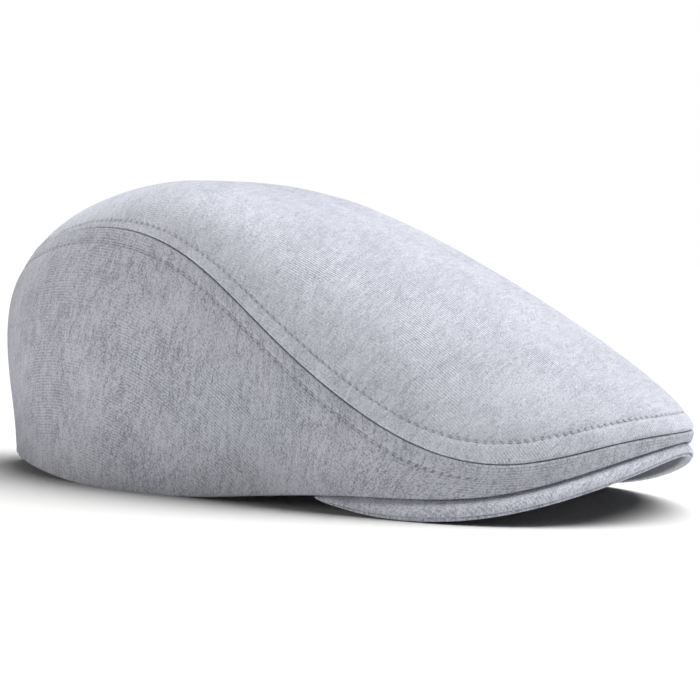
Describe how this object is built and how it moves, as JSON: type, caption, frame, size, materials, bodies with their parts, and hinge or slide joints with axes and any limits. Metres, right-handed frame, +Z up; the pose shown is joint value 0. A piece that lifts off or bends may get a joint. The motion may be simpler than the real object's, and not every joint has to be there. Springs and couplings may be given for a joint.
{
  "type": "flat cap",
  "caption": "Soft flat cap in light grey heather jersey: long top panel, two side panels and a stiff arched peak.",
  "frame": {"origin": "middle of the cap's length and width, on the surface that it rests on", "axes": "+Z up, the peak points to -Y, the wearer's left is +X"},
  "size_m": [0.1866, 0.2772, 0.114],
  "materials": {
    "crown_jersey": "light grey heather brushed jersey, matte",
    "peak_jersey": "light grey heather brushed jersey over a stiff board, matte"
  },
  "bodies": {
    "root": {"top_panel": "crown_jersey", "side_panel_left": "crown_jersey", "side_panel_right": "crown_jersey", "peak_upper": "peak_jersey", "peak_underside": "peak_jersey"}
  },
  "joints": []
}
